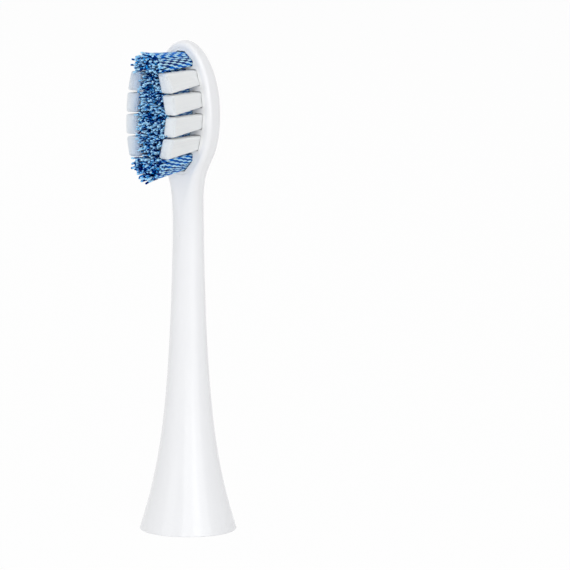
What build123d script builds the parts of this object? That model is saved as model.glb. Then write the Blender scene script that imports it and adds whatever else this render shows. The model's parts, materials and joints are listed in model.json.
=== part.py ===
from build123d import *

import os
from dataclasses import dataclass
from math import sqrt

# Push-on head of an electric toothbrush: moulded body, tuft plate, tufts, drive sleeve and grip spring.
# +Z runs up the neck from the base, the bristles point to -Y, and the origin is on the axis of the drive
# socket in the plane of the base rim. Lengths are in millimetres.

# Overall height, and the oval head measured down from its tip: to the widest part and on to the neck
HEAD_TOP_Z = 83.5
HEAD_END_LENGTH = 12.3
HEAD_HALF_WIDTH = 6.0
HEAD_FRONT = 2.4
HEAD_BACK = 2.1
FRONT_ROUND = 0.7
BACK_ROUND = 2.2
BACK_ROUND_SHARE = 0.8
BACK_BOW_RADIUS = 65.0
HEAD_WIDEST_Z = HEAD_TOP_Z - HEAD_END_LENGTH

# Shoulder: the neck widens over two handles, while its section goes from round to flat-fronted. The front
# reaches the depth of the face first, then its edges their rounding, and the back its depth last
SHOULDER_LENGTH = 15.2
NECK_HANDLE = 8.0
HEAD_HANDLE = 9.2
FACE_LENGTH = 4.5
EDGE_LENGTH = 10.0
THIN_LENGTH = 11.0
LEAST_FLAT = 0.02
NECK_TOP_Z = HEAD_WIDEST_Z - SHOULDER_LENGTH

# Flared skirt and neck: radius and height of the two ends, and of the two points that draw the flare
RIM_RADIUS = 8.25
RIM_CHAMFER = 0.12
FLARE_LOW_RADIUS = 4.97
FLARE_LOW_Z = 10.6
FLARE_HIGH_RADIUS = 2.96
FLARE_HIGH_Z = 19.75
NECK_RADIUS = 2.55
ROUND_SHARE = 0.89

# Hollow skirt with the seat of the sleeve above it
SKIRT_WALL = 1.2
STOP_Z = 13.0
RIB_COUNT = 4
RIB_WIDTH = 0.8
RIB_BOTTOM_Z = 1.2

# Drive sleeve: a collar up to the stop and a plug above it, with a keyed socket on top of a round guide
COLLAR_RADIUS = 3.4
PLUG_RADIUS = 2.8
SLEEVE_BOTTOM_Z = 0.2
SLEEVE_TOP_Z = 22.0
MOUTH_CHAMFER = 0.2
GUIDE_RADIUS = 2.0
KEY_RADIUS = 1.7
KEY_FLAT = 1.2
KEY_LENGTH = 8.0
SLEEVE_CAP = 2.0
SEAT_END_GAP = 0.3
PRESS_CLEARANCE = 0.02
RIB_CLEARANCE = 0.05
KEY_TOP_Z = SLEEVE_TOP_Z - SLEEVE_CAP
GUIDE_TOP_Z = KEY_TOP_Z - KEY_LENGTH

# Bowed leaf spring in its pocket beside the flat of the socket
SPRING_THICKNESS = 0.2
SPRING_WIDTH = 1.6
SPRING_LENGTH = 6.2
SPRING_PROUD = 0.15
SPRING_POCKET = 0.85
SPRING_CLEARANCE = 0.1

# Plate that holds the tufts, and the room behind it for their fused feet
PLATE_RIM = 1.1
PLATE_LENGTH = 21.5
PLATE_THICKNESS = 1.6
PLATE_RECESS = 0.02
PLATE_CLEARANCE = 0.02
PLATE_LEDGE = 0.25
FOOT_THICKNESS = 0.6
FOOT_FLANGE = 0.08
FOOT_CLEARANCE = 0.15
LEDGE_CLEARANCE = 0.12
LEDGE_END_CLEARANCE = 0.22
TUFT_CLEARANCE = 0.02
PLATE_TOP_Z = HEAD_TOP_Z - PLATE_RIM
PLATE_BOTTOM_Z = PLATE_TOP_Z - PLATE_LENGTH

# Rows of tufts: white side tufts and blue middle tufts between the blue tufts at both ends of the plate
ROW_COUNT = 4
TOP_END_DEPTH = 3.06
BOTTOM_END_DEPTH = 3.76
END_CROWN_HALF_WIDTH = 0.75
COLUMN_TAPER = 0.18
CENTRE_BULGE = 0.25
CORNER_ROUND = 0.3
ROWS_LENGTH = PLATE_LENGTH - TOP_END_DEPTH - BOTTOM_END_DEPTH
ROW_PITCH = ROWS_LENGTH / ROW_COUNT
ROWS_CENTRE_Z = PLATE_TOP_Z - TOP_END_DEPTH - ROWS_LENGTH / 2

# Bristle length at the middle of the field, the cup of the trim, the shorter middle and taller end tufts
BRISTLE_LENGTH = 9.5
TRIM_RADIUS = 50.0
CENTRE_DROP = 0.25
END_EXTRA = 0.5
TRIM_ALLOWANCE = 2.5

FACE = Plane(origin=(0, -HEAD_FRONT, 0), x_dir=(1, 0, 0), z_dir=(0, -1, 0))


@dataclass(frozen=True)
class Field:
    """Margins of the tuft field inside the plate, and the tufts' widths and gaps, at one height."""

    margin: float
    column_half_width: float
    end_margin: float
    end_half_width: float
    row_gap: float
    column_gap: float
    end_gap: float
    stack_gap: float


ROOTS = Field(
    margin=PLATE_LEDGE + FOOT_FLANGE + LEDGE_CLEARANCE,
    column_half_width=2.35,
    end_margin=PLATE_LEDGE + FOOT_FLANGE + LEDGE_END_CLEARANCE,
    end_half_width=2.4,
    row_gap=0.9,
    column_gap=0.45,
    end_gap=0.4,
    stack_gap=0.36,
)
TIPS = Field(
    margin=-0.2,
    column_half_width=3.0,
    end_margin=-0.1,
    end_half_width=3.0,
    row_gap=0.28,
    column_gap=0.3,
    end_gap=0.3,
    stack_gap=0.2,
)


def blend(low, high, share):
    """Value between low and high that leaves both with no slope."""
    share = min(max(share, 0.0), 1.0)
    return low + (high - low) * share * share * (3 - 2 * share)


def flare_curve():
    """Outline of the skirt and neck, as radius against height."""
    return Bezier(
        (RIM_RADIUS, 0),
        (FLARE_LOW_RADIUS, FLARE_LOW_Z),
        (FLARE_HIGH_RADIUS, FLARE_HIGH_Z),
        (NECK_RADIUS, NECK_TOP_Z),
    )


def shoulder_curve():
    """Outline from the neck to the widest part of the head, as half-width against height."""
    return Bezier(
        (NECK_RADIUS, NECK_TOP_Z),
        (NECK_RADIUS, NECK_TOP_Z + NECK_HANDLE),
        (HEAD_HALF_WIDTH, HEAD_WIDEST_Z - HEAD_HANDLE),
        (HEAD_HALF_WIDTH, HEAD_WIDEST_Z),
    )


def round_section(point):
    """Round section of the neck, divided as the flat-fronted sections above it are."""
    side = 360 * LEAST_FLAT / point.X
    arcs = [CenterArc((0, 0, point.Y), point.X, 90 * i - side / 2, side) for i in range(4)]
    corners = [CenterArc((0, 0, point.Y), point.X, 90 * i + side / 2, 90 - side) for i in range(4)]
    return make_face(arcs + corners)


def head_back_round():
    """Rounding of the head's back edge, kept under the radius of the oval's end."""
    end_radius = HEAD_HALF_WIDTH * HEAD_HALF_WIDTH / HEAD_END_LENGTH
    return min(BACK_ROUND, BACK_ROUND_SHARE * end_radius)


def body_section(point, round_z):
    """Section of the neck and head, which goes from round to a flat front and a softly rounded back."""
    depth = point.X if point.Y < NECK_TOP_Z else NECK_RADIUS
    face_share = (point.Y - round_z) / (NECK_TOP_Z + FACE_LENGTH - round_z)
    edge_share = (point.Y - round_z) / (NECK_TOP_Z + EDGE_LENGTH - round_z)
    back_share = (point.Y - NECK_TOP_Z) / THIN_LENGTH
    front = blend(depth, HEAD_FRONT, face_share)
    back = blend(depth, HEAD_BACK, back_share)
    front_round = min(blend(depth, FRONT_ROUND, edge_share), front)
    back_round = blend(depth, head_back_round(), back_share)
    outline = Pos(0, (back - front) / 2, point.Y) * Rectangle(2 * point.X, front + back)
    outline = fillet(outline.vertices().group_by(Axis.Y)[0], front_round - LEAST_FLAT)
    return fillet(outline.vertices().group_by(Axis.Y)[-1], back_round - LEAST_FLAT)


def head_top():
    """Upper half of the oval head, above its widest part, whose back bows forward to the tip."""
    plan = FACE * Pos(0, HEAD_WIDEST_Z) * Ellipse(HEAD_HALF_WIDTH, HEAD_END_LENGTH)
    bow_axis = Pos(0, HEAD_BACK - BACK_BOW_RADIUS, HEAD_WIDEST_Z) * Rot(0, 90, 0)
    bow = bow_axis * Cylinder(BACK_BOW_RADIUS, 4 * HEAD_HALF_WIDTH)
    block = extrude(plan, amount=-(HEAD_FRONT + 2 * HEAD_BACK)) & bow
    block = fillet(block.edges().group_by(Axis.Y)[0], FRONT_ROUND - LEAST_FLAT)
    back = block.faces().sort_by(Axis.Y)[-1]
    block = fillet(back.edges(), head_back_round() - LEAST_FLAT)
    return split(block, Plane.XY.offset(HEAD_WIDEST_Z), keep=Keep.TOP)


def outer_form():
    """Solid outer form: a turned skirt, a lofted neck and shoulder, and the head's upper half."""
    crown = head_top()
    skirt_edge = flare_curve().trim(0, ROUND_SHARE)
    start = skirt_edge @ 1
    axis_edge = Polyline(start, (0, start.Y), (0, 0), skirt_edge @ 0)
    skirt = revolve(Plane.XZ * make_face([skirt_edge, axis_edge]), Axis.Z)
    neck_edge = flare_curve().trim(ROUND_SHARE, 1)
    stations = [neck_edge @ (i / 6) for i in range(1, 6)]
    stations += [shoulder_curve() @ (i / 10) for i in range(10)]
    sections = [round_section(start)]
    sections += [body_section(point, start.Y) for point in stations]
    sections.append(crown.faces().sort_by(Axis.Z)[0])
    return skirt + loft(sections) + crown


def skirt_radius(z):
    """Outer radius of the skirt at a height."""
    level = Line((0, z), (2 * RIM_RADIUS, z))
    return flare_curve().intersect(level).vertices()[0].X


def skirt_hollow():
    """Hollow under the skirt, one wall inside the flare, with the sleeve's seat above its stop."""
    seat_radius = PLUG_RADIUS + PRESS_CLEARANCE
    seat_top = SLEEVE_TOP_Z + SEAT_END_GAP
    heights = [STOP_Z * share for share in (0, 1 / 3, 2 / 3, 1)]
    least = COLLAR_RADIUS + RIB_CLEARANCE
    wall = Spline([(max(skirt_radius(z) - SKIRT_WALL, least), z) for z in heights])
    edges = [
        wall,
        Line((0, 0), wall @ 0),
        Line(wall @ 1, (seat_radius, STOP_Z)),
        Line((seat_radius, STOP_Z), (seat_radius, seat_top)),
        Line((seat_radius, seat_top), (0, seat_top)),
        Line((0, seat_top), (0, 0)),
    ]
    return revolve(Plane.XZ * make_face(edges), Axis.Z)


def skirt_ribs(hollow):
    """Ribs that join the skirt to the collar of the sleeve and keep it central."""
    bore = COLLAR_RADIUS + RIB_CLEARANCE
    height = STOP_Z - RIB_BOTTOM_Z
    blade = Pos(RIM_RADIUS / 2, 0, RIB_BOTTOM_Z) * Box(
        RIM_RADIUS, RIB_WIDTH, height, align=(Align.CENTER, Align.CENTER, Align.MIN)
    )
    ribs = PolarLocations(0, RIB_COUNT) * blade
    core = Cylinder(bore, STOP_Z, align=(Align.CENTER, Align.CENTER, Align.MIN))
    return (Part() + ribs) & (hollow - core)


def oval(half_width, top, bottom):
    """Oval outline in the plane of the face, widest at the same height as the head."""
    centre = (0, HEAD_WIDEST_Z)
    upper = EllipticalCenterArc(centre, half_width, top - HEAD_WIDEST_Z, start_angle=0, arc_size=180)
    lower = EllipticalCenterArc(centre, half_width, HEAD_WIDEST_Z - bottom, start_angle=180, arc_size=180)
    return make_face([upper, lower])


def plate_oval(inset):
    """Outline of the plate, moved inward by an inset."""
    half_width = HEAD_HALF_WIDTH - PLATE_RIM - inset
    return oval(half_width, PLATE_TOP_Z - inset, PLATE_BOTTOM_Z + inset)


def brush_body():
    """Body: the outer form, hollow below and with a two-step pocket in the front of the head."""
    body = outer_form()
    hollow = skirt_hollow()
    body = body - hollow + skirt_ribs(hollow)
    seat_depth = HEAD_FRONT + PLATE_RECESS + PLATE_THICKNESS
    before = FACE.offset(HEAD_FRONT)
    body -= extrude(before * plate_oval(-PLATE_CLEARANCE), amount=-seat_depth)
    room_depth = seat_depth + FOOT_THICKNESS + FOOT_CLEARANCE
    body -= extrude(before * plate_oval(PLATE_LEDGE), amount=-room_depth)
    edge = Plane.XZ * Polyline(
        (RIM_RADIUS - RIM_CHAMFER, 0),
        (RIM_RADIUS + RIM_CHAMFER, 0),
        (RIM_RADIUS + RIM_CHAMFER, 2 * RIM_CHAMFER),
        close=True,
    )
    return body - revolve(make_face(edge), Axis.Z)


def oval_half_width(z, inset):
    """Half-width of the plate outline, moved inward by an inset, at a height."""
    if z > HEAD_WIDEST_Z:
        half_length = PLATE_TOP_Z - inset - HEAD_WIDEST_Z
    else:
        half_length = HEAD_WIDEST_Z - PLATE_BOTTOM_Z - inset
    share = min(abs(z - HEAD_WIDEST_Z) / half_length, 1.0)
    return (HEAD_HALF_WIDTH - PLATE_RIM - inset) * sqrt(1 - share * share)


def rounded_outline(points):
    """Closed outline through the points, with its corners rounded."""
    outline = make_face(Polyline(*points, close=True))
    return fillet(outline.vertices(), CORNER_ROUND)


def column_half_width(z, field):
    """Half-width of the middle column at a height, a lozenge that is widest where the head is."""
    return field.column_half_width - COLUMN_TAPER * abs(z - HEAD_WIDEST_Z)


def side_outline(z, field, side):
    """Outline of a side tuft from the oval to the column: side is 1 on the right and -1 on the left."""
    low = z - (ROW_PITCH - field.row_gap) / 2
    high = z + (ROW_PITCH - field.row_gap) / 2
    return rounded_outline(
        [
            (side * (column_half_width(low, field) + field.column_gap), low),
            (side * oval_half_width(low, field.margin), low),
            (side * oval_half_width(high, field.margin), high),
            (side * (column_half_width(high, field) + field.column_gap), high),
        ]
    )


def centre_outline(low, high, field, bulge=0.0):
    """Outline of a middle tuft, which may bulge halfway up to reach between two side tufts."""
    middle = (low + high) / 2
    low_half = column_half_width(low, field)
    middle_half = column_half_width(middle, field) + bulge
    high_half = column_half_width(high, field)
    return rounded_outline(
        [
            (low_half, low),
            (middle_half, middle),
            (high_half, high),
            (-high_half, high),
            (-middle_half, middle),
            (-low_half, low),
        ]
    )


def end_outline(base, crown, half_width):
    """Outline of an end tuft: a straight base toward the rows and a narrower crown toward the rim."""
    shoulder = base + (crown - base) * 0.4
    return rounded_outline(
        [
            (half_width, base),
            (half_width, shoulder),
            (END_CROWN_HALF_WIDTH, crown),
            (-END_CROWN_HALF_WIDTH, crown),
            (-half_width, shoulder),
            (-half_width, base),
        ]
    )


def field_outlines(field):
    """Outlines of all tufts by name, at the height that the field stands for."""
    half_span = ROW_PITCH * (ROW_COUNT - 1) / 2
    rows = [ROWS_CENTRE_Z + half_span - ROW_PITCH * i for i in range(ROW_COUNT)]
    half_row = (ROW_PITCH - field.row_gap) / 2
    half_stack = field.stack_gap / 2
    top_base = rows[0] + half_row + field.end_gap
    bottom_base = rows[-1] - half_row - field.end_gap
    top_crown = PLATE_TOP_Z - field.end_margin
    bottom_crown = PLATE_BOTTOM_Z + field.end_margin
    outlines = {
        "top_tuft": end_outline(top_base, top_crown, field.end_half_width),
        "bottom_tuft": end_outline(bottom_base, bottom_crown, field.end_half_width),
        "upper_centre_tuft": centre_outline(rows[0] + half_stack, top_base - field.stack_gap, field),
        "lower_centre_tuft": centre_outline(bottom_base + field.stack_gap, rows[-1] - half_stack, field),
    }
    for i, (high, low) in enumerate(zip(rows, rows[1:]), start=1):
        band = (low + half_stack, high - half_stack)
        outlines[f"centre_tuft_{i}"] = centre_outline(*band, field, CENTRE_BULGE)
    for i, row in enumerate(rows, start=1):
        outlines[f"left_tuft_{i}"] = side_outline(row, field, -1)
        outlines[f"right_tuft_{i}"] = side_outline(row, field, 1)
    return outlines


def tuft_plate(roots):
    """Plate with one hole for each tuft."""
    plate = extrude(FACE * plate_oval(0), amount=-PLATE_THICKNESS)
    for outline in roots.values():
        plate -= extrude(FACE * outline, amount=-PLATE_THICKNESS)
    return Pos(0, PLATE_RECESS, 0) * plate


def tuft(root, tip, length):
    """Tuft: a fused foot behind the plate, a shank in its hole and bristles spread to a cupped trim."""
    shank_outline = offset(root, -TUFT_CLEARANCE)
    back = PLATE_RECESS + PLATE_THICKNESS
    reach = length + TRIM_ALLOWANCE
    shank = extrude(FACE * shank_outline, amount=-back)
    foot_outline = offset(root, FOOT_FLANGE)
    foot = extrude(FACE.offset(-back - FOOT_THICKNESS) * foot_outline, amount=FOOT_THICKNESS)
    bristles = loft([FACE * shank_outline, FACE.offset(reach) * tip])
    axis_y = -HEAD_FRONT - length - TRIM_RADIUS
    trim_axis = Pos(0, axis_y, ROWS_CENTRE_Z) * Rot(0, 90, 0)
    trim = trim_axis * Cylinder(TRIM_RADIUS, 4 * HEAD_HALF_WIDTH)
    return foot + shank + (bristles - trim)


def drive_sleeve():
    """Sleeve: collar and plug, a round guide for the shaft, a keyed socket and a spring pocket."""
    low = (Align.CENTER, Align.CENTER, Align.MIN)
    base = Pos(0, 0, SLEEVE_BOTTOM_Z)
    collar = base * Cylinder(COLLAR_RADIUS, STOP_Z - SLEEVE_BOTTOM_Z, align=low)
    plug = Pos(0, 0, STOP_Z) * Cylinder(PLUG_RADIUS, SLEEVE_TOP_Z - STOP_Z, align=low)
    guide = base * Cylinder(GUIDE_RADIUS, GUIDE_TOP_Z - SLEEVE_BOTTOM_Z, align=low)
    mouth = base * Cone(GUIDE_RADIUS + MOUTH_CHAMFER, GUIDE_RADIUS, MOUTH_CHAMFER, align=low)
    key = Circle(KEY_RADIUS) & Pos(0, KEY_FLAT) * Rectangle(
        2 * KEY_RADIUS, 4 * KEY_RADIUS, align=(Align.CENTER, Align.MAX)
    )
    socket = Pos(0, 0, GUIDE_TOP_Z) * extrude(key, amount=KEY_TOP_Z - GUIDE_TOP_Z)
    pocket = Pos(0, 0, (GUIDE_TOP_Z + KEY_TOP_Z) / 2) * Box(
        SPRING_WIDTH + 2 * SPRING_CLEARANCE,
        KEY_FLAT + SPRING_POCKET,
        SPRING_LENGTH + 2 * SPRING_CLEARANCE,
        align=(Align.CENTER, Align.MIN, Align.CENTER),
    )
    return collar + plug - guide - mouth - socket - pocket


def grip_spring():
    """Bowed leaf whose ends bear on the floor of the pocket and whose crest stands proud of the flat."""
    floor = KEY_FLAT + SPRING_POCKET - PRESS_CLEARANCE
    crest = KEY_FLAT - SPRING_PROUD + SPRING_THICKNESS
    half = SPRING_LENGTH / 2
    outer = ThreePointArc((floor, -half), (crest, 0), (floor, half))
    inner = ThreePointArc(
        (floor - SPRING_THICKNESS, -half),
        (crest - SPRING_THICKNESS, 0),
        (floor - SPRING_THICKNESS, half),
    )
    strip = make_face([outer, inner, Line(outer @ 0, inner @ 0), Line(outer @ 1, inner @ 1)])
    leaf = extrude(Plane.YZ * strip, amount=SPRING_WIDTH / 2, both=True)
    return Pos(0, 0, (GUIDE_TOP_Z + KEY_TOP_Z) / 2) * leaf


def extra_length(name):
    """How much longer than the side tufts a tuft is cut."""
    if "centre" in name:
        return -CENTRE_DROP
    if name in ("top_tuft", "bottom_tuft"):
        return END_EXTRA
    return 0.0


def build_nodes():
    """All pieces by node name."""
    roots = field_outlines(ROOTS)
    tips = field_outlines(TIPS)
    nodes = {
        "brush_body": brush_body(),
        "tuft_plate": tuft_plate(roots),
        "drive_sleeve": drive_sleeve(),
        "grip_spring": grip_spring(),
    }
    for name, root in roots.items():
        nodes[name] = tuft(root, tips[name], BRISTLE_LENGTH + extra_length(name))
    return nodes


def main():
    os.makedirs("parts", exist_ok=True)
    for name, solid in build_nodes().items():
        export_step(solid, f"parts/{name}.step")


if __name__ == "__main__":
    main()
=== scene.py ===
import json
import logging
import math
from dataclasses import dataclass
from enum import Enum, IntEnum
from typing import ClassVar

import bmesh
import bpy
import numpy as np
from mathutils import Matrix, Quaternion, Vector
from mathutils.bvhtree import BVHTree
from mathutils.geometry import convex_hull_2d


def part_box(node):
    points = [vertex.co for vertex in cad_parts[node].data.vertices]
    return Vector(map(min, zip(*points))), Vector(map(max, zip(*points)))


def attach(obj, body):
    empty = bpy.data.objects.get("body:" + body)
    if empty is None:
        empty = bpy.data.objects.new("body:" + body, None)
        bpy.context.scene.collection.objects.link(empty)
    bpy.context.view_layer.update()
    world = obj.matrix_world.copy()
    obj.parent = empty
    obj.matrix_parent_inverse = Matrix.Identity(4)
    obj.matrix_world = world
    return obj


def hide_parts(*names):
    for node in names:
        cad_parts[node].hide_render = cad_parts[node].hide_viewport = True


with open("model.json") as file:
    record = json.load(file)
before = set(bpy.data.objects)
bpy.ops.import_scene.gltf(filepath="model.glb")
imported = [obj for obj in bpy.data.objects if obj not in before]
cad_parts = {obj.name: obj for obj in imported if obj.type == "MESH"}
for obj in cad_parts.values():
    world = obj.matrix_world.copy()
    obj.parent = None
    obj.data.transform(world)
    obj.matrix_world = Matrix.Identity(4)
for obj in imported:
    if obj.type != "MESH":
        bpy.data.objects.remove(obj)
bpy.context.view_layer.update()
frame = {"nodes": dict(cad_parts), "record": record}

# Dresses an electric toothbrush head: gloss moulded body, satin tuft plate, drive sleeve, leaf spring,
# and tufts made of single filaments, blue ones twisted from two tones and clear white ones. Lengths are
# in metres in the frame of the CAD: +Z runs up the neck and the bristles point to -Y.

MM = 0.001
ROOT_BODY = "root"
LOG = logging.getLogger("brush_head")

Colour = tuple[float, float, float]
Range = tuple[float, float]

WHITE: Colour = (1.0, 1.0, 1.0)
ROW_RISE = math.sqrt(3) / 2
QUARTER_TURN = 90.0


class Slot(Enum):
    """Material slots of the record's tufts."""

    BLUE = "blue_bristle"
    WHITE = "white_bristle"


class Trait(Enum):
    """Values that each filament's mesh carries for its material."""

    ALONG = "along_mm"
    BELOW_TIP = "below_tip_mm"
    AROUND = "around"
    SEED = "seed"
    PHASE = "phase"


class MixInput(IntEnum):
    """Places of the Mix node's inputs, whose names repeat."""

    SHARE = 0
    LOW_NUMBER = 2
    HIGH_NUMBER = 3
    LOW_COLOUR = 6
    HIGH_COLOUR = 7


class MixResult(IntEnum):
    """Places of the Mix node's outputs, whose names repeat."""

    NUMBER = 0
    COLOUR = 2


def add_object(name: str, data: bpy.types.ID) -> bpy.types.Object:
    """Puts an object into the scene.

    Args:
        name: Name of the object.
        data: Its mesh, light or camera.

    Returns:
        The new object.
    """
    thing = bpy.data.objects.new(name, data)
    bpy.context.scene.collection.objects.link(thing)
    return thing


class NodeBench:
    """One node tree and the nodes that are wired into it."""

    def __init__(self, tree: bpy.types.NodeTree) -> None:
        """Takes up a tree.

        Args:
            tree: Node tree of a material or of the world.
        """
        self.tree = tree

    def add(self, kind: str, inputs: dict | None = None, **properties: object) -> bpy.types.Node:
        """Adds a node.

        Args:
            kind: Type name of the node, without its ShaderNode prefix.
            inputs: Values or output sockets for the node's inputs, by name or place.
            properties: Values of the node's own properties.

        Returns:
            The new node.
        """
        node = self.tree.nodes.new("ShaderNode" + kind)
        for name, value in properties.items():
            setattr(node, name, value)
        for key, value in (inputs or {}).items():
            self.feed(node.inputs[key], value)
        return node

    def feed(self, socket: bpy.types.NodeSocket, value: object) -> None:
        """Links an output socket to an input socket, or sets the input's value.

        Args:
            socket: Input socket.
            value: Output socket, number, vector or colour.
        """
        if isinstance(value, bpy.types.NodeSocket):
            self.tree.links.new(value, socket)
        elif isinstance(value, tuple) and len(value) == 3 and socket.type == "RGBA":
            socket.default_value = (*value, 1.0)
        else:
            socket.default_value = value

    def place(self) -> bpy.types.NodeSocket:
        """Position on the object, in metres."""
        return self.add("TexCoord").outputs["Object"]

    def trait(self, trait: Trait, output: str = "Fac") -> bpy.types.NodeSocket:
        """Output of a value that the mesh carries."""
        return self.add("Attribute", attribute_name=trait.value).outputs[output]

    def noise(self, scale: float, detail: float = 2.0, place: object = None) -> bpy.types.NodeSocket:
        """Noise from 0 to 1.

        Args:
            scale: Features in a unit of the place.
            detail: Finer layers that are added to the noise.
            place: Socket with the place, or None for the position on the object.

        Returns:
            The noise's value socket.
        """
        inputs = {"Vector": place or self.place(), "Scale": scale, "Detail": detail}
        return self.add("TexNoise", inputs).outputs[0]

    def math(self, operation: str, *values: object) -> bpy.types.NodeSocket:
        """Result of one sum on numbers or sockets."""
        return self.add("Math", dict(enumerate(values)), operation=operation).outputs[0]

    def signed(self, value: object) -> bpy.types.NodeSocket:
        """Number from 0 to 1 spread over -1 to 1."""
        return self.math("MULTIPLY_ADD", value, 2.0, -1.0)

    def ranged(self, value: object, source: Range, target: Range) -> bpy.types.NodeSocket:
        """Value moved smoothly from a source range to a target range.

        Args:
            value: Socket to move.
            source: Low and high end of the source range.
            target: Values at those two ends.

        Returns:
            Socket of the result.
        """
        names = ("Value", "From Min", "From Max", "To Min", "To Max")
        inputs = dict(zip(names, (value, *source, *target)))
        return self.add("MapRange", inputs, interpolation_type="SMOOTHSTEP").outputs[0]

    def mixed(self, share: object, low: object, high: object) -> bpy.types.NodeSocket:
        """Colour between two colours.

        Args:
            share: Socket with 0 for the first colour and 1 for the second.
            low: First colour or socket.
            high: Second colour or socket.

        Returns:
            Socket of the colour.
        """
        inputs = {MixInput.SHARE: share, MixInput.LOW_COLOUR: low, MixInput.HIGH_COLOUR: high}
        return self.add("Mix", inputs, data_type="RGBA").outputs[MixResult.COLOUR]

    def between(self, share: object, low: object, high: object) -> bpy.types.NodeSocket:
        """Number between two numbers.

        Args:
            share: Socket with 0 for the first number and 1 for the second.
            low: First number or socket.
            high: Second number or socket.

        Returns:
            Socket of the number.
        """
        inputs = {MixInput.SHARE: share, MixInput.LOW_NUMBER: low, MixInput.HIGH_NUMBER: high}
        return self.add("Mix", inputs, data_type="FLOAT").outputs[MixResult.NUMBER]

    def bump(self, height: bpy.types.NodeSocket, strength: float, depth: float) -> bpy.types.NodeSocket:
        """Normal raised by a height.

        Args:
            height: Socket with the height from 0 to 1.
            strength: Share of the bump that shows.
            depth: Height in metres at a value of 1.

        Returns:
            Socket of the normal.
        """
        inputs = {"Height": height, "Strength": strength, "Distance": depth}
        return self.add("Bump", inputs).outputs["Normal"]

    def seen_rays(self) -> bpy.types.NodeSocket:
        """Tells rays that show what they meet from rays that only light.

        Returns:
            Socket that is 1 for rays from the camera, a mirror or glass.
        """
        path = self.add("LightPath").outputs
        mirrored = self.math("MAXIMUM", path["Is Glossy Ray"], path["Is Transmission Ray"])
        return self.math("MAXIMUM", path["Is Camera Ray"], mirrored)


class MaterialBench(NodeBench):
    """One material and the nodes that are wired into its main shader."""

    def __init__(self, name: str) -> None:
        """Makes the material.

        Args:
            name: Name of the material.
        """
        self.material = bpy.data.materials.new(name)
        self.material.use_nodes = True
        super().__init__(self.material.node_tree)
        self.shader = self.tree.nodes["Principled BSDF"]

    def set_shader(self, **values: object) -> None:
        """Sets or links inputs of the main shader.

        Args:
            values: Values or output sockets by input, with underscores for the spaces in its name.
        """
        for name, value in values.items():
            self.feed(self.shader.inputs[name.replace("_", " ")], value)


@dataclass(frozen=True)
class MouldedPlastic:
    """Moulded plastic with faint clouds of colour, uneven gloss and a fine moulded grain."""

    name: str
    colour: Colour
    cloud_colour: Colour
    roughness: Range
    cloud_size: float
    grain_size: float
    grain_depth: float
    cloud_range: Range = (0.3, 0.7)
    gloss_range: Range = (0.25, 0.75)
    gloss_patches: float = 3.0
    gloss_detail: float = 4.0
    grain_detail: float = 3.0
    grain_strength: float = 0.4

    def material(self) -> bpy.types.Material:
        """Builds the material.

        Returns:
            The material, ready for a mesh.
        """
        bench = MaterialBench(self.name)
        cloud = bench.noise(1 / self.cloud_size)
        gloss = bench.noise(self.gloss_patches / self.cloud_size, detail=self.gloss_detail)
        grain = bench.noise(1 / self.grain_size, detail=self.grain_detail)
        clouded = bench.ranged(cloud, self.cloud_range, (0.0, 1.0))
        bench.set_shader(
            Base_Color=bench.mixed(clouded, self.colour, self.cloud_colour),
            Roughness=bench.ranged(gloss, self.gloss_range, self.roughness),
            Normal=bench.bump(grain, self.grain_strength, self.grain_depth),
        )
        return bench.material


@dataclass(frozen=True)
class RolledSteel:
    """Spring steel with rolling lines along the strip."""

    name: str
    colour: Colour
    line_colour: Colour
    line_size: float
    line_stretch: float
    roughness: Range
    line_depth: float
    line_range: Range = (0.3, 0.7)
    line_detail: float = 3.0
    line_strength: float = 0.5

    def material(self) -> bpy.types.Material:
        """Builds the material.

        Returns:
            The material, ready for a mesh.
        """
        bench = MaterialBench(self.name)
        scale = (1.0, 1.0, 1 / self.line_stretch)
        stretched = bench.add("Mapping", {"Vector": bench.place(), "Scale": scale})
        lines = bench.noise(1 / self.line_size, detail=self.line_detail, place=stretched.outputs[0])
        bench.set_shader(
            Base_Color=bench.mixed(lines, self.line_colour, self.colour),
            Metallic=1.0,
            Roughness=bench.ranged(lines, self.line_range, self.roughness),
            Normal=bench.bump(lines, self.line_strength, self.line_depth),
        )
        return bench.material


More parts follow.
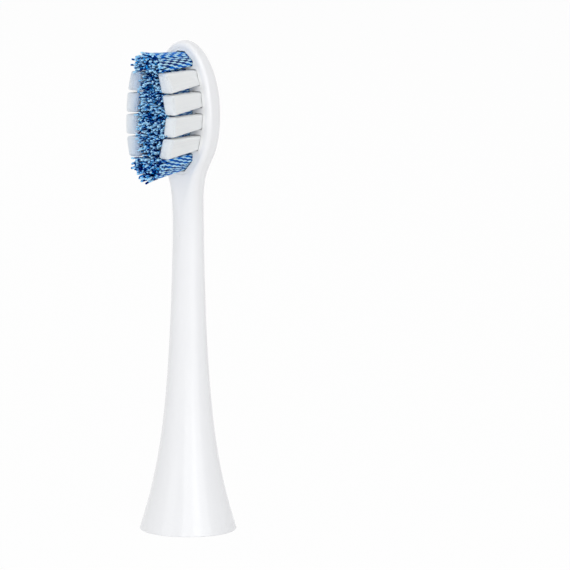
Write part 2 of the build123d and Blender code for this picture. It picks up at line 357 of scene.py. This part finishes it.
@dataclass(frozen=True)
class TwistedBristle:
    """Filament twisted from a dark and a pale strand, with shades that differ between filaments; toward
    the tip the dark strand is painted navy and the pale strand less icy, painted shade of the gaps
    between the tips.
    """

    name: str
    navy: Colour
    blue: Colour
    pale: Colour
    ice: Colour
    pitch_mm: float
    edge: float
    tip_mm: float
    lean: float
    tip_lean: float
    pale_bias: float
    tip_bias: float
    shank_ice: float
    painted_shade_tip_ice: float
    painted_shade_tip_blue: float
    roughness: float
    specular: float
    icy_seeds: Range = (0.35, 0.9)
    shuffle: float = 7.31
    roughness_spread: float = 0.08

    def material(self) -> bpy.types.Material:
        """Builds the material.

        Returns:
            The material, ready for a mesh.
        """
        bench = MaterialBench(self.name)
        seed = bench.trait(Trait.SEED)
        shuffled = bench.math("FRACT", bench.math("MULTIPLY", seed, self.shuffle))
        shank = bench.ranged(bench.trait(Trait.BELOW_TIP), (0.0, self.tip_mm), (0.0, 1.0))
        along, phase = bench.trait(Trait.ALONG), bench.trait(Trait.PHASE)
        turn = bench.math("MULTIPLY_ADD", along, math.tau / self.pitch_mm, phase)
        facing = bench.add("CombineXYZ", {0: bench.math("COSINE", turn), 1: bench.math("SINE", turn)})
        around = bench.trait(Trait.AROUND, "Vector")
        strand = bench.add("VectorMath", {0: facing.outputs[0], 1: around}, operation="DOT_PRODUCT")
        lean = bench.between(shank, self.tip_lean, self.lean)
        bias = bench.between(shank, self.tip_bias, self.pale_bias)
        leaning = bench.math("MULTIPLY_ADD", bench.signed(seed), lean, bias)
        uneven = bench.math("ADD", strand.outputs["Value"], leaning)
        share = bench.ranged(uneven, (-self.edge, self.edge), (0.0, 1.0))
        # Painted shade: toward the tip the dark strand turns navy and the pale strand less icy, for the
        # shade in the gaps between the tips.
        painted_shade_blueness = bench.math("MULTIPLY", shuffled, bench.between(shank, self.painted_shade_tip_blue, 1.0))
        painted_shade_tip_iciness = bench.ranged(seed, self.icy_seeds, (0.0, self.painted_shade_tip_ice))
        iciness = bench.between(shank, painted_shade_tip_iciness, self.shank_ice)
        dark = bench.mixed(painted_shade_blueness, self.navy, self.blue)
        light = bench.mixed(iciness, self.pale, self.ice)
        roughness = (self.roughness - self.roughness_spread, self.roughness + self.roughness_spread)
        bench.set_shader(
            Base_Color=bench.mixed(share, dark, light),
            Roughness=bench.ranged(shuffled, (0.0, 1.0), roughness),
            Specular_IOR_Level=self.specular,
        )
        return bench.material


@dataclass(frozen=True)
class ClearBristle:
    """Clear pale filament with a greyer cut end, whose side that faces the blue column carries painted
    blue bounce light and shade from the column.
    """

    name: str
    colour: Colour
    shade: Colour
    end_colour: Colour
    painted_blue_bounce_colour: Colour
    end_mm: float
    column_reach: Range
    far_painted_bounce: float
    streak_mm: float
    roughness: float
    specular: float
    tone_range: Range = (0.2, 0.8)
    inner_range: Range = (-0.5, 0.5)
    streak_share: float = 0.6
    seed_distance: float = 100.0
    roughness_spread: float = 0.06

    def material(self) -> bpy.types.Material:
        """Builds the material.

        Returns:
            The material, ready for a mesh.
        """
        bench = MaterialBench(self.name)
        seed = bench.trait(Trait.SEED)
        far_apart = bench.math("MULTIPLY", seed, self.seed_distance)
        streak_place = bench.add("CombineXYZ", {0: bench.trait(Trait.ALONG), 1: far_apart})
        streak = bench.noise(1 / self.streak_mm, place=streak_place.outputs[0])
        own_tone = bench.math("MULTIPLY", seed, 1 - self.streak_share)
        tone = bench.math("MULTIPLY_ADD", streak, self.streak_share, own_tone)
        side = bench.mixed(bench.ranged(tone, self.tone_range, (0.0, 1.0)), self.colour, self.shade)
        # Painted blue bounce light and shade: near the blue column, the cut end's side that faces the
        # column takes its blue.
        across = bench.add("SeparateXYZ", {0: bench.place()}).outputs["X"]
        outward = bench.add("SeparateXYZ", {0: bench.trait(Trait.AROUND, "Vector")}).outputs["X"]
        turned_away = bench.math("MULTIPLY", outward, bench.math("SIGN", across))
        inner_side = bench.ranged(turned_away, self.inner_range, (1.0, 0.0))
        off_axis = bench.math("ABSOLUTE", across)
        near_column = bench.ranged(off_axis, self.column_reach, (1.0, self.far_painted_bounce))
        painted_bounce = bench.math("MULTIPLY", inner_side, near_column)
        end = bench.mixed(painted_bounce, self.end_colour, self.painted_blue_bounce_colour)
        at_end = bench.ranged(bench.trait(Trait.BELOW_TIP), (0.0, self.end_mm), (1.0, 0.0))
        roughness = (self.roughness - self.roughness_spread, self.roughness + self.roughness_spread)
        bench.set_shader(
            Base_Color=bench.mixed(at_end, side, end),
            Roughness=bench.ranged(seed, (0.0, 1.0), roughness),
            Specular_IOR_Level=self.specular,
        )
        return bench.material


@dataclass(frozen=True)
class Outline:
    """Convex outline of a tuft in a plane across it, as corner points of X and Z in turn."""

    corners: np.ndarray
    least_step: ClassVar[float] = 0.02 * MM
    least_length: ClassVar[float] = 1e-12
    least_cross: ClassVar[float] = 1e-15
    hit_margin: ClassVar[float] = 1e-6
    least_count: ClassVar[int] = 6

    @classmethod
    def cut(cls, mesh: bpy.types.Mesh, y: float) -> "Outline":
        """Cuts a mesh across its filaments.

        Args:
            mesh: Closed mesh of a tuft.
            y: Height of the cut along Y.

        Returns:
            The outline of the cut.
        """
        work = bmesh.new()
        work.from_mesh(mesh)
        everything = work.verts[:] + work.edges[:] + work.faces[:]
        cut = bmesh.ops.bisect_plane(work, geom=everything, plane_co=(0, y, 0), plane_no=(0, 1, 0))
        points = [v.co.xz for v in cut["geom_cut"] if isinstance(v, bmesh.types.BMVert)]
        work.free()
        hull = np.array([points[i] for i in convex_hull_2d(points)], dtype=float)
        steps = np.linalg.norm(hull - np.roll(hull, 1, axis=0), axis=1)
        corners = hull[steps > cls.least_step]
        area = np.cross(corners, np.roll(corners, -1, axis=0)).sum()
        return cls(corners if area > 0 else corners[::-1])

    @property
    def middle(self) -> np.ndarray:
        """Middle of the outline's box."""
        return (self.corners.min(0) + self.corners.max(0)) / 2

    @property
    def runs(self) -> np.ndarray:
        """Vector from each corner to the next."""
        return np.roll(self.corners, -1, axis=0) - self.corners

    def depth(self, points: np.ndarray) -> np.ndarray:
        """How far points lie inside the outline.

        Args:
            points: X and Z of each point.

        Returns:
            Distance to the nearest side, below zero outside.
        """
        runs = self.runs
        lengths = np.maximum(np.linalg.norm(runs, axis=1), self.least_length)
        inward = np.stack([-runs[:, 1], runs[:, 0]], axis=1) / lengths[:, None]
        offsets = points[:, None, :] - self.corners[None, :, :]
        return (offsets * inward[None, :, :]).sum(2).min(1)

    def reach(self, directions: np.ndarray) -> np.ndarray:
        """Distance from the middle to the outline.

        Args:
            directions: Unit vectors from the middle.

        Returns:
            Distance along each of them.
        """
        runs = self.runs
        starts = self.corners - self.middle
        across, up = directions[:, None, 0], directions[:, None, 1]
        cross = across * runs[None, :, 1] - up * runs[None, :, 0]
        cross = np.where(np.abs(cross) < self.least_cross, self.least_cross, cross)
        along = (starts[:, 0] * runs[:, 1] - starts[:, 1] * runs[:, 0])[None, :] / cross
        share = (starts[None, :, 0] * up - starts[None, :, 1] * across) / cross
        hit = (along > 0) & (share >= -self.hit_margin) & (share <= 1 + self.hit_margin)
        return np.where(hit, along, np.inf).min(1)

    def rim(self, inset: float, spacing: float) -> np.ndarray:
        """Points at even distances along the outline.

        Args:
            inset: How far they lie inside it.
            spacing: Distance from point to point.

        Returns:
            X and Z of each point.
        """
        lengths = np.linalg.norm(self.runs, axis=1)
        ends = np.concatenate([[0.0], np.cumsum(lengths)])
        closed = np.vstack([self.corners, self.corners[:1]])
        count = max(self.least_count, round(ends[-1] / spacing))
        places = np.arange(count) * ends[-1] / count
        points = np.stack([np.interp(places, ends, closed[:, i]) for i in range(2)], axis=1)
        outward = points - self.middle
        distance = np.linalg.norm(outward, axis=1, keepdims=True)
        return self.middle + outward * (1 - inset / distance)


@dataclass(frozen=True)
class Filament:
    """How the filaments of one kind of tuft are drawn, set and trimmed."""

    radius: float
    spacing: float
    rim_spacing: float
    set_jitter: float
    length_jitter: float
    sink: float
    rim_pale: float
    splay: float
    wander: float
    stray: float
    bend: float
    edge_round: float
    sides: int
    rim_steps: int
    core_steps: int


@dataclass
class FilamentMesh:
    """Vertices, faces and carried values of many filaments, gathered piece by piece."""

    sides: int
    dome_angles: tuple[float, ...] = (38.0, 68.0)

    def __post_init__(self) -> None:
        """Starts with nothing."""
        self.points: list[np.ndarray] = []
        self.faces: list[list[int]] = []
        self.values: dict[Trait, list[np.ndarray]] = {trait: [] for trait in Trait}
        self.count = 0

    def keep(self, points: np.ndarray, faces: list[list[int]], values: dict[Trait, np.ndarray]) -> None:
        """Adds vertices with their faces and values.

        Args:
            points: Position of each vertex.
            faces: Corners of each face, counted from the first of these vertices.
            values: Value of each trait at each vertex.
        """
        self.points.append(points)
        self.faces.extend([corner + self.count for corner in face] for face in faces)
        for trait, value in values.items():
            self.values[trait].append(value)
        self.count += len(points)

    def tube_faces(self, total: int, levels: int) -> list[list[int]]:
        """Walls of round filaments, each closed by a fan at its tip.

        Args:
            total: Number of filaments.
            levels: Rings in each of them.

        Returns:
            Corners of each face, counted from the first filament's first vertex.
        """
        ring = np.arange(self.sides)
        ahead = np.roll(ring, -1)
        bases = np.arange(levels - 1)[:, None] * self.sides
        low, near = bases + ring, bases + ahead
        quads = np.stack([low, low + self.sides, near + self.sides, near], axis=2).reshape(1, -1, 4)
        last = (levels - 1) * self.sides
        apex = levels * self.sides
        fans = np.stack([last + ring, np.full(self.sides, apex), last + ahead], axis=1)
        starts = np.arange(total)[:, None, None] * (apex + 1)
        return (quads + starts).reshape(-1, 4).tolist() + (fans[None] + starts).reshape(-1, 3).tolist()

    def sweep(
        self,
        paths: np.ndarray,
        radius: float,
        face_y: float,
        seeds: np.ndarray,
        phases: np.ndarray,
    ) -> None:
        """Adds round filaments with rounded ends.

        Args:
            paths: Points along each filament, from its root to its tip.
            radius: Radius of the filaments.
            face_y: Height of the plate's face, from which the length along each filament counts.
            seeds: Number from 0 to 1 for each filament.
            phases: Angle at which each filament's twist starts.
        """
        dome = np.radians(self.dome_angles)
        tips = paths[:, -1:, :] - [0.0, 1.0, 0.0] * (radius * np.sin(dome))[None, :, None]
        rings = np.concatenate([paths, tips], axis=1)
        sizes = radius * np.concatenate([np.ones(paths.shape[1]), np.cos(dome)])
        angles = np.arange(self.sides) * math.tau / self.sides
        around = np.stack([np.cos(angles), np.sin(angles), np.zeros(self.sides)], axis=1)
        offsets = np.stack([around[:, 0], around[:, 2], around[:, 1]], axis=1)
        walls = rings[:, :, None, :] + sizes[None, :, None, None] * offsets[None, None, :, :]
        ends = paths[:, -1, :] - [0.0, radius, 0.0]
        total, levels = rings.shape[:2]
        body = walls.reshape(total, -1, 3)
        points = np.concatenate([body, ends[:, None, :]], axis=1)
        each = points.shape[1]
        around_all = np.concatenate([np.tile(around, (levels, 1)), [[0.0, 0.0, 0.0]]])
        values = {
            Trait.ALONG: (face_y - points[:, :, 1]).ravel() / MM,
            Trait.BELOW_TIP: (points[:, :, 1] - ends[:, None, 1]).ravel() / MM,
            Trait.AROUND: np.tile(around_all, (total, 1)),
            Trait.SEED: np.repeat(seeds, each),
            Trait.PHASE: np.repeat(phases, each),
        }
        self.keep(points.reshape(-1, 3), self.tube_faces(total, levels), values)

    def foot(self, outline: Outline, front_y: float, back_y: float) -> None:
        """Adds the fused foot behind the plate.

        Args:
            outline: Outline of the foot.
            front_y: Height of its front.
            back_y: Height of its back.
        """
        corners = outline.corners
        count = len(corners)
        heights = (np.full(count, y) for y in (front_y, back_y))
        levels = [np.stack([corners[:, 0], height, corners[:, 1]], axis=1) for height in heights]
        ring = np.arange(count)
        ahead = np.roll(ring, -1)
        walls = np.stack([ring, ahead, ahead + count, ring + count], axis=1).tolist()
        caps = [ring[::-1].tolist(), (ring + count).tolist()]
        total = 2 * count
        values = {trait: np.zeros((total, 3) if trait is Trait.AROUND else total) for trait in Trait}
        values[Trait.BELOW_TIP] += (front_y - self.points[0][:, 1].min()) / MM
        self.keep(np.concatenate(levels), walls + caps, values)

    def make(self, name: str) -> bpy.types.Object:
        """Makes the mesh object.

        Args:
            name: Name of the piece.

        Returns:
            The object, in the scene and shaded smooth.
        """
        mesh = bpy.data.meshes.new(name)
        mesh.from_pydata(np.concatenate(self.points).tolist(), [], self.faces)
        for trait, values in self.values.items():
            flat = np.concatenate(values)
            is_vector = flat.ndim == 2
            layer = mesh.attributes.new(trait.value, "FLOAT_VECTOR" if is_vector else "FLOAT", "POINT")
            layer.data.foreach_set("vector" if is_vector else "value", flat.astype(np.float32).ravel())
        mesh.shade_smooth()
        return add_object(name, mesh)


@dataclass
class Tuft:
    """One tuft: filaments set in a hole of the plate, spread to the trimmed outline, on a fused foot."""

    node: str
    filament: Filament
    slot: Slot
    seed: int
    hole_gap: float = 0.05 * MM
    upper_cut: float = 0.8
    cast_height: float = 50 * MM
    cast_shrink: float = 0.96
    core_inset: float = 0.5
    tip_crowding: float = 1.8
    twist_step: float = 0.43
    twist_jitter: float = 0.4
    round_power: int = 4
    splay_power: int = 3
    least_splay: float = 0.3
    least_distance: float = 1e-9

    def __post_init__(self) -> None:
        """Reads the tuft's outlines and heights from its CAD node."""
        mesh = frame["nodes"][self.node].data
        low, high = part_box(self.node)
        plate_low, plate_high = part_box("tuft_plate")
        self.face_y = plate_low.y
        self.foot_front_y = plate_high.y
        self.foot_back_y = high.y
        self.upper_y = self.face_y + self.upper_cut * (low.y - self.face_y)
        self.root = Outline.cut(mesh, (self.face_y + self.foot_front_y) / 2)
        self.upper = Outline.cut(mesh, self.upper_y)
        self.foot = Outline.cut(mesh, (self.foot_front_y + self.foot_back_y) / 2)
        self.solid = BVHTree.FromPolygons(
            [v.co for v in mesh.vertices], [tuple(p.vertices) for p in mesh.polygons]
        )
        self.draw = np.random.default_rng(self.seed)

    def set_points(self) -> tuple[np.ndarray, np.ndarray, np.ndarray]:
        """Places the filaments in the upper outline, a row along its rim and a close pattern inside.

        Returns:
            X and Z of each filament, whether it stands at the rim, and where its twist starts.
        """
        thread = self.filament
        rim = self.upper.rim(thread.radius, thread.rim_spacing)
        low, high = self.upper.corners.min(0), self.upper.corners.max(0)
        rise = thread.spacing * ROW_RISE
        rows = np.arange(math.ceil((high[1] - low[1]) / rise) + 1)
        columns = np.arange(math.ceil((high[0] - low[0]) / thread.spacing) + 1)
        column, row = np.meshgrid(columns, rows)
        core = np.stack([column + (row % 2) / 2, row * ROW_RISE], axis=2).reshape(-1, 2)
        core = low + core * thread.spacing
        core = core[self.upper.depth(core) > thread.radius + self.core_inset * thread.spacing]
        points = np.concatenate([rim, core])
        is_rim = np.arange(len(points)) < len(rim)
        points = points + self.draw.normal(0.0, thread.set_jitter, points.shape)
        phases = math.tau * self.draw.random(len(points))
        phases[is_rim] = math.tau * self.twist_step * np.arange(len(rim))
        phases += self.draw.normal(0.0, self.twist_jitter, len(points))
        return points, is_rim, phases

    def trimmed(self, points: np.ndarray) -> np.ndarray:
        """Height of the trimmed end over points of the upper outline.

        Args:
            points: X and Z of each point.

        Returns:
            Y of the trimmed end at each point.
        """
        heights = np.full(len(points), np.nan)
        middle = self.upper.middle
        for i, point in enumerate(middle + (points - middle) * self.cast_shrink):
            hit = self.solid.ray_cast(Vector((point[0], -self.cast_height, point[1])), Vector((0, 1, 0)))
            if hit[0] is not None:
                heights[i] = hit[0].y
        return np.where(np.isnan(heights), np.nanmedian(heights), heights)

    def spread(self, points: np.ndarray) -> tuple[np.ndarray, np.ndarray]:
        """Where points lie between the middle of the upper outline and its edge.

        Args:
            points: X and Z of each point.

        Returns:
            Unit vector from the middle to each point, and its share of the way to the edge.
        """
        offsets = points - self.upper.middle
        distances = np.maximum(np.linalg.norm(offsets, axis=1), self.least_distance)
        directions = offsets / distances[:, None]
        return directions, distances / self.upper.reach(directions)

    def paths(self, points: np.ndarray, steps: int, seeds: np.ndarray) -> np.ndarray:
        """Lines of filaments from the foot through the plate to the trimmed end.

        Args:
            points: X and Z of each filament in the upper outline.
            steps: Steps in the part of each line that stands out of the plate.
            seeds: Number from 0 to 1 for each filament, of which the low ones are sunk.

        Returns:
            Points along each filament.
        """
        thread = self.filament
        directions, shares = self.spread(points)
        hole = np.maximum(self.root.reach(directions) - self.hole_gap - thread.radius, 0.0)
        roots = self.root.middle + directions * (shares * hole)[:, None]
        tip_y = self.trimmed(points) + thread.edge_round * shares**self.round_power
        tip_y = tip_y + thread.sink * (1 - seeds)
        tip_y += self.draw.uniform(-thread.length_jitter, thread.length_jitter, len(points))
        lengths = self.face_y - tip_y - thread.radius
        climb = lengths / (self.face_y - self.upper_y)
        lean = np.clip(self.draw.normal(0.0, thread.wander, points.shape), -thread.stray, thread.stray)
        outward = thread.splay * shares**self.splay_power
        outward = outward * self.draw.uniform(self.least_splay, 1.0, len(points))
        lean += directions * outward[:, None]
        levels = 1 - np.linspace(1.0, 0.0, steps + 1) ** self.tip_crowding
        spread = (points - roots)[:, None, :] * (levels[None, :] * climb[:, None])[:, :, None]
        across = roots[:, None, :] + spread + lean[:, None, :] * (levels**thread.bend)[None, :, None]
        heights = self.face_y - lengths[:, None] * levels[None, :]
        across = np.concatenate([roots[:, None, :], across], axis=1)
        heights = np.concatenate([np.full((len(points), 1), self.foot_front_y), heights], axis=1)
        return np.stack([across[:, :, 0], heights, across[:, :, 1]], axis=2)

    def build(self) -> bpy.types.Object:
        """Builds the tuft's mesh.

        Returns:
            The tuft as one piece.
        """
        thread = self.filament
        points, is_rim, phases = self.set_points()
        shares = np.minimum(self.spread(points)[1], 1.0)
        seeds = thread.rim_pale * shares + (1 - thread.rim_pale) * self.draw.random(len(points))
        gathered = FilamentMesh(thread.sides)
        for chosen, steps in ((is_rim, thread.rim_steps), (~is_rim, thread.core_steps)):
            lines = self.paths(points[chosen], steps, seeds[chosen])
            gathered.sweep(lines, thread.radius, self.face_y, seeds[chosen], phases[chosen])
        gathered.foot(self.foot, self.foot_front_y, self.foot_back_y)
        return gathered.make(f"{self.node}_bristles")

    def dress(self, piece: bpy.types.Object, material: bpy.types.Material) -> None:
        """Gives the tuft its finish and its place on the part.

        Args:
            piece: Piece from build.
            material: Its finish.
        """
        piece.data.materials.append(material)
        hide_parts(self.node)
        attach(piece, ROOT_BODY)


@dataclass
class TuftField:
    """All tufts of the head: blue ends and middle column, white sides."""

    end: Filament = Filament(
        radius=0.19 * MM,
        spacing=0.37 * MM,
        rim_spacing=0.4 * MM,
        set_jitter=0.04 * MM,
        length_jitter=0.2 * MM,
        sink=0.8 * MM,
        rim_pale=0.35,
        splay=0.25 * MM,
        wander=0.25 * MM,
        stray=0.4 * MM,
        bend=6.0,
        edge_round=0.2 * MM,
        sides=6,
        rim_steps=8,
        core_steps=5,
    )
    column: Filament = Filament(
        radius=0.155 * MM,
        spacing=0.325 * MM,
        rim_spacing=0.32 * MM,
        set_jitter=0.04 * MM,
        length_jitter=0.3 * MM,
        sink=1.5 * MM,
        rim_pale=0.35,
        splay=0.35 * MM,
        wander=0.55 * MM,
        stray=0.6 * MM,
        bend=6.0,
        edge_round=-0.35 * MM,
        sides=6,
        rim_steps=8,
        core_steps=5,
    )
    side: Filament = Filament(
        radius=0.09 * MM,
        spacing=0.12 * MM,
        rim_spacing=0.1 * MM,
        set_jitter=0.006 * MM,
        length_jitter=0.02 * MM,
        sink=0.0,
        rim_pale=0.0,
        splay=0.05 * MM,
        wander=0.01 * MM,
        stray=0.03 * MM,
        bend=2.5,
        edge_round=0.65 * MM,
        sides=5,
        rim_steps=4,
        core_steps=2,
    )
    blue_finish: TwistedBristle = TwistedBristle(
        name="twisted_blue_bristle",
        navy=(0.0, 0.003, 0.13),
        blue=(0.0, 0.17, 0.7),
        pale=(0.0, 0.42, 1.0),
        ice=(0.64, 0.92, 1.0),
        pitch_mm=2.7,
        edge=0.12,
        tip_mm=1.5,
        lean=0.15,
        tip_lean=1.8,
        pale_bias=-0.22,
        tip_bias=-0.15,
        shank_ice=0.8,
        # Painted shade of the gaps between the tips: navier dark strand and less icy pale strand toward
        # the tip.
        painted_shade_tip_ice=0.7,
        painted_shade_tip_blue=0.15,
        roughness=0.45,
        specular=0.02,
    )
    white_finish: ClearBristle = ClearBristle(
        name="clear_white_bristle",
        colour=(0.91, 0.925, 0.93),
        shade=(0.88, 0.9, 0.91),
        end_colour=(0.87, 0.9, 0.925),
        # Painted blue bounce light and shade from the column, on the side of the cut ends that faces it.
        painted_blue_bounce_colour=(0.46, 0.57, 0.73),
        end_mm=0.7,
        column_reach=(2.2 * MM, 4.8 * MM),
        far_painted_bounce=0.1,
        streak_mm=2.5,
        roughness=0.45,
        specular=0.3,
    )
    first_seed: int = 41
    column_word: str = "centre"

    def nodes(self) -> list[tuple[str, Slot]]:
        """Finds the tufts in the record.

        Returns:
            Name and slot of each, in the record's order.
        """
        slots = {slot.value: slot for slot in Slot}
        subparts = frame["record"]["subparts"]
        return [(s["node"], slots[s["material_slot"]]) for s in subparts if s["material_slot"] in slots]

    def filament(self, node: str, slot: Slot) -> Filament:
        """Picks the filaments of a tuft, by its colour and by whether it stands in the middle column.

        Args:
            node: Name of the tuft.
            slot: Its material slot.

        Returns:
            How its filaments are drawn.
        """
        if slot is Slot.WHITE:
            return self.side
        return self.column if self.column_word in node else self.end

    def build(self) -> None:
        """Builds and dresses every tuft."""
        materials = {Slot.BLUE: self.blue_finish.material(), Slot.WHITE: self.white_finish.material()}
        for i, (node, slot) in enumerate(self.nodes()):
            tuft = Tuft(node, self.filament(node, slot), slot, self.first_seed + i)
            piece = tuft.build()
            tuft.dress(piece, materials[slot])
            LOG.info("%s: %d faces in place of %s", piece.name, len(piece.data.polygons), node)


@dataclass
class MouldedParts:
    """Body, plate, sleeve and spring, which keep their CAD shape and get a finish."""

    body_finish: MouldedPlastic = MouldedPlastic(
        name="gloss_white_body",
        colour=(0.897, 0.904, 0.922),
        cloud_colour=(0.89, 0.897, 0.917),
        roughness=(0.14, 0.18),
        cloud_size=9 * MM,
        grain_size=0.35 * MM,
        grain_depth=0.0004 * MM,
    )
    plate_finish: MouldedPlastic = MouldedPlastic(
        name="satin_white_plate",
        colour=(0.9, 0.905, 0.905),
        cloud_colour=(0.885, 0.89, 0.895),
        roughness=(0.3, 0.4),
        cloud_size=4 * MM,
        grain_size=0.2 * MM,
        grain_depth=0.004 * MM,
    )
    sleeve_finish: MouldedPlastic = MouldedPlastic(
        name="satin_grey_sleeve",
        colour=(0.74, 0.75, 0.77),
        cloud_colour=(0.7, 0.71, 0.735),
        roughness=(0.4, 0.55),
        cloud_size=4 * MM,
        grain_size=0.22 * MM,
        grain_depth=0.006 * MM,
    )
    spring_finish: RolledSteel = RolledSteel(
        name="rolled_spring_steel",
        colour=(0.66, 0.67, 0.68),
        line_colour=(0.5, 0.51, 0.53),
        line_size=0.08 * MM,
        line_stretch=30.0,
        roughness=(0.29, 0.4),
        line_depth=0.001 * MM,
    )

    def dress(self) -> None:
        """Puts each finish on its CAD node."""
        finishes = {
            "brush_body": self.body_finish,
            "tuft_plate": self.plate_finish,
            "drive_sleeve": self.sleeve_finish,
            "grip_spring": self.spring_finish,
        }
        for node, finish in finishes.items():
            mesh = frame["nodes"][node].data
            mesh.materials.clear()
            mesh.materials.append(finish.material())
            LOG.info("%s: CAD shape, finish %s", node, finish.name)


@dataclass(frozen=True)
class SoftLamp:
    """Soft lamp or card that is aimed at the head, placed by its angles round it.

    A lamp with no height is square. A card that doesn't light matte surfaces shows in gloss alone.
    """

    name: str
    azimuth: float
    elevation: float
    distance: float
    size: float
    power: float
    height: float | None = None
    lights_matte: bool = True

    def build(self, aim: Vector) -> None:
        """Hangs the lamp.

        Args:
            aim: Point that it is aimed at.
        """
        lamp = bpy.data.lights.new(self.name, "AREA")
        lamp.shape = "RECTANGLE"
        lamp.size = self.size
        lamp.size_y = self.height or self.size
        lamp.energy = self.power
        holder = add_object(self.name, lamp)
        holder.visible_diffuse = self.lights_matte
        back = direction(self.azimuth, self.elevation)
        holder.location = aim + back * self.distance
        holder.rotation_euler = (-back).to_track_quat("-Z", "Y").to_euler()
        LOG.info("%s: %.2f W", self.name, self.power)


def direction(azimuth: float, elevation: float) -> Vector:
    """Direction from the head to a place round it.

    Args:
        azimuth: Angle in degrees from the bristle side toward +X.
        elevation: Angle in degrees above the floor.

    Returns:
        Unit vector.
    """
    turn, rise = math.radians(azimuth), math.radians(elevation)
    return Vector((math.sin(turn) * math.cos(rise), -math.cos(turn) * math.cos(rise), math.sin(rise)))


@dataclass
class Studio:
    """White floor and surround, soft lamps, a card and the camera at the photograph's angle."""

    aim_height: float = 41.8 * MM
    camera_azimuth: float = 33.5
    camera_elevation: float = 9.06
    camera_distance: float = 1080 * MM
    camera_roll: float = 0.2
    image_side: float = 570.0
    aim_column: float = 188.3
    pixels_per_mm: float = 5.92
    sensor_width_mm: float = 36.0
    floor_side: float = 8.0
    floor_colour: Colour = (0.95, 0.95, 0.95)
    floor_roughness: float = 0.9
    shadow_share: float = 0.05
    surround_light: float = 0.59
    lamps: tuple[SoftLamp, ...] = (
        SoftLamp("front_lamp", azimuth=42.0, elevation=20.0, distance=0.7, size=0.6, power=1.6),
        SoftLamp("top_lamp", azimuth=20.0, elevation=70.0, distance=0.7, size=0.5, power=0.5),
        SoftLamp("left_lamp", azimuth=-20.0, elevation=20.0, distance=0.8, size=0.4, power=0.33),
        SoftLamp("back_lamp", azimuth=245.0, elevation=25.0, distance=0.7, size=0.4, power=0.6),
        SoftLamp(
            "right_card",
            azimuth=70.0,
            elevation=20.0,
            distance=0.27,
            size=0.21,
            power=0.24,
            height=0.28,
            lights_matte=False,
        ),
    )

    def build(self) -> None:
        """Builds the floor, the surround, the lamps and the camera."""
        self.build_floor()
        self.build_surround()
        for lamp in self.lamps:
            lamp.build(Vector((0.0, 0.0, self.aim_height)))
        self.build_camera()
        bpy.context.scene.view_settings.view_transform = "Standard"

    def build_floor(self) -> None:
        """Lays a floor under the rim that shows as white but keeps part of the head's shadow."""
        half = self.floor_side / 2
        corners = [(-half, -half, 0.0), (half, -half, 0.0), (half, half, 0.0), (-half, half, 0.0)]
        mesh = bpy.data.meshes.new("studio_floor")
        mesh.from_pydata(corners, [], [(0, 1, 2, 3)])
        bench = MaterialBench("studio_white")
        bench.set_shader(
            Base_Color=self.floor_colour,
            Roughness=self.floor_roughness,
            Specular_IOR_Level=0.0,
        )
        glow = bench.add("Emission", {"Color": WHITE, "Strength": 1.0})
        seen = bench.math("MULTIPLY", bench.seen_rays(), 1.0 - self.shadow_share)
        both = bench.add("MixShader", {0: seen, 1: bench.shader.outputs[0], 2: glow.outputs[0]})
        bench.feed(bench.tree.nodes["Material Output"].inputs["Surface"], both.outputs[0])
        mesh.materials.append(bench.material)
        floor = add_object("studio_floor", mesh)
        LOG.info("studio_floor: stage")

    def build_surround(self) -> None:
        """Surrounds the head with white that lights it softly."""
        world = bpy.data.worlds.new("studio_surround")
        world.use_nodes = True
        bpy.context.scene.world = world
        bench = NodeBench(world.node_tree)
        strength = bench.ranged(bench.seen_rays(), (0.0, 1.0), (self.surround_light, 1.0))
        backdrop = world.node_tree.nodes["Background"]
        bench.feed(backdrop.inputs["Color"], WHITE)
        bench.feed(backdrop.inputs["Strength"], strength)
        LOG.info("studio_surround: %.2f", self.surround_light)

    def build_camera(self) -> None:
        """Sets the camera at the photograph's angle, with the head left of the middle."""
        lens = bpy.data.cameras.new("camera")
        lens.sensor_width = self.sensor_width_mm
        view_width = self.image_side / self.pixels_per_mm * MM
        lens.lens = self.sensor_width_mm * self.camera_distance / view_width
        camera = add_object("camera", lens)
        back = direction(self.camera_azimuth, self.camera_elevation)
        right = direction(self.camera_azimuth + QUARTER_TURN, 0.0)
        middle = Vector((0.0, 0.0, self.aim_height))
        aside = (self.image_side / 2 - self.aim_column) / self.pixels_per_mm * MM
        camera.location = middle + back * self.camera_distance
        look = middle + right * aside - camera.location
        camera.rotation_mode = "QUATERNION"
        roll = Quaternion((0.0, 0.0, 1.0), math.radians(self.camera_roll))
        camera.rotation_quaternion = look.to_track_quat("-Z", "Y") @ roll
        bpy.context.scene.camera = camera
        LOG.info("camera: %.0f mm lens", lens.lens)


def main() -> None:
    """Builds the head's pieces and the studio in order."""
    logging.basicConfig(level=logging.INFO, format="%(name)s: %(message)s")
    MouldedParts().dress()
    TuftField().build()
    Studio().build()


if __name__ == "__main__":
    main()
